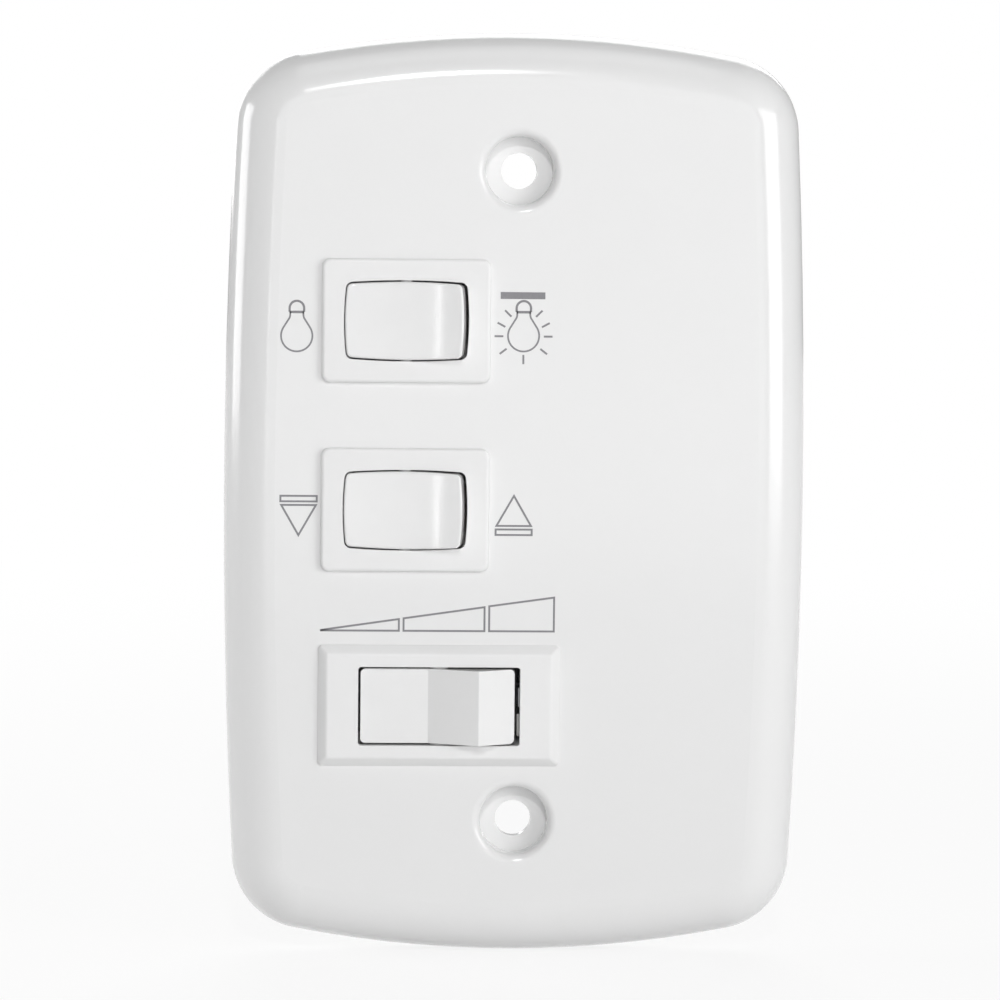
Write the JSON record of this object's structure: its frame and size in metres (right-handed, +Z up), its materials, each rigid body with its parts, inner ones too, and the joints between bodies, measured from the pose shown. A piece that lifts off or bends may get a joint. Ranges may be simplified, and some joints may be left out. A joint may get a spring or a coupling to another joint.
{
  "type": "fan speed control switch",
  "caption": "Flush wall plate with rocker switches for lamp and fan direction, a three-position speed switch and the motor capacitor behind it.",
  "frame": {"origin": "midway between the two box screws, on the plane of the wall", "axes": "+Z up, +X to the right seen from the front, +Y into the wall; the user's side faces -Y"},
  "size_m": [0.075, 0.0377, 0.1186],
  "materials": {
    "plate_plastic": "polished white moulding",
    "module_plastic": "fine satin white moulding",
    "rocker_plastic": "polished white moulding",
    "plunger_plastic": "natural acetal",
    "spring_steel": "drawn wire",
    "terminal_brass": "stamped brass",
    "copper_strip": "stamped copper alloy",
    "contact_silver": "silver alloy",
    "leaf_steel": "rolled spring strip",
    "case_plastic": "satin pale grey moulding",
    "potting_resin": "cast resin",
    "tinned_blade": "tinned strip"
  },
  "bodies": {
    "frame": {"faceplate": "plate_plastic", "lamp_housing": "module_plastic", "lamp_fixed_contacts": "contact_silver", "lamp_common_terminal": "terminal_brass", "reversing_housing": "module_plastic", "reversing_fixed_contacts": "contact_silver", "reversing_common_terminal": "terminal_brass", "lamp_load_terminal": "terminal_brass", "reversing_forward_terminal": "terminal_brass", "reversing_reverse_terminal": "terminal_brass", "speed_housing": "module_plastic", "speed_contacts": "contact_silver", "speed_medium_terminal": "terminal_brass", "speed_low_terminal": "terminal_brass", "speed_high_terminal": "terminal_brass", "speed_common_terminal": "terminal_brass", "speed_detent_spring": "leaf_steel", "capacitor_case": "case_plastic", "capacitor_potting": "potting_resin", "capacitor_blades": "tinned_blade"},
    "lamp_rocker": {"lamp_rocker": "rocker_plastic", "lamp_spring": "spring_steel"},
    "lamp_plunger": {"lamp_plunger": "plunger_plastic"},
    "lamp_arm": {"lamp_contact_arm": "copper_strip", "lamp_arm_contacts": "contact_silver"},
    "reversing_rocker": {"reversing_rocker": "rocker_plastic", "reversing_spring": "spring_steel"},
    "reversing_plunger": {"reversing_plunger": "plunger_plastic"},
    "reversing_arm": {"reversing_contact_arm": "copper_strip", "reversing_arm_contacts": "contact_silver"},
    "speed_paddle": {"speed_paddle": "rocker_plastic", "speed_spring": "spring_steel"},
    "speed_pusher": {"speed_pusher": "plunger_plastic", "speed_contact_bridge": "copper_strip"}
  },
  "joints": [
    {"name": "lamp_rocker_tilt", "type": "hinge", "parent": "frame", "child": "lamp_rocker", "pos_m": [-0.0143, -0.008, 0.02245], "axis": [0, 0, 1], "range_deg": [0, 16]},
    {"name": "lamp_plunger_slide", "type": "slide", "parent": "lamp_rocker", "child": "lamp_plunger", "axis": [-0.1392, -0.9903, 0], "range_m": [0, 0.0003], "stiffness_N_per_m": 300, "springref_m": -0.0005, "deforming": ["lamp_spring"]},
    {"name": "lamp_arm_rock", "type": "hinge", "parent": "frame", "child": "lamp_arm", "pos_m": [-0.0143, 0.001, 0.02245], "axis": [0, 0, 1], "range_deg": [-16, 0]},
    {"name": "reversing_rocker_tilt", "type": "hinge", "parent": "frame", "child": "reversing_rocker", "pos_m": [-0.0143, -0.008, -0.00165], "axis": [0, 0, 1], "range_deg": [0, 16]},
    {"name": "reversing_plunger_slide", "type": "slide", "parent": "reversing_rocker", "child": "reversing_plunger", "axis": [-0.1392, -0.9903, 0], "range_m": [0, 0.0003], "stiffness_N_per_m": 300, "springref_m": -0.0005, "deforming": ["reversing_spring"]},
    {"name": "reversing_arm_rock", "type": "hinge", "parent": "frame", "child": "reversing_arm", "pos_m": [-0.0143, 0.001, -0.00165], "axis": [0, 0, 1], "range_deg": [-16, 0]},
    {"name": "speed_paddle_tilt", "type": "hinge", "parent": "frame", "child": "speed_paddle", "pos_m": [-0.00975, -0.0076, -0.02675], "axis": [0, 0, 1], "range_deg": [0, 20]},
    {"name": "speed_pusher_slide", "type": "slide", "parent": "speed_paddle", "child": "speed_pusher", "axis": [-0.1736, -0.9848, 0], "range_m": [0, 0.0003], "stiffness_N_per_m": 300, "springref_m": -0.0005, "deforming": ["speed_spring"]}
  ],
  "couplings": [
    {"joint": "lamp_arm_rock", "follows": "lamp_rocker_tilt", "ratio": -1},
    {"joint": "reversing_arm_rock", "follows": "reversing_rocker_tilt", "ratio": -1}
  ]
}
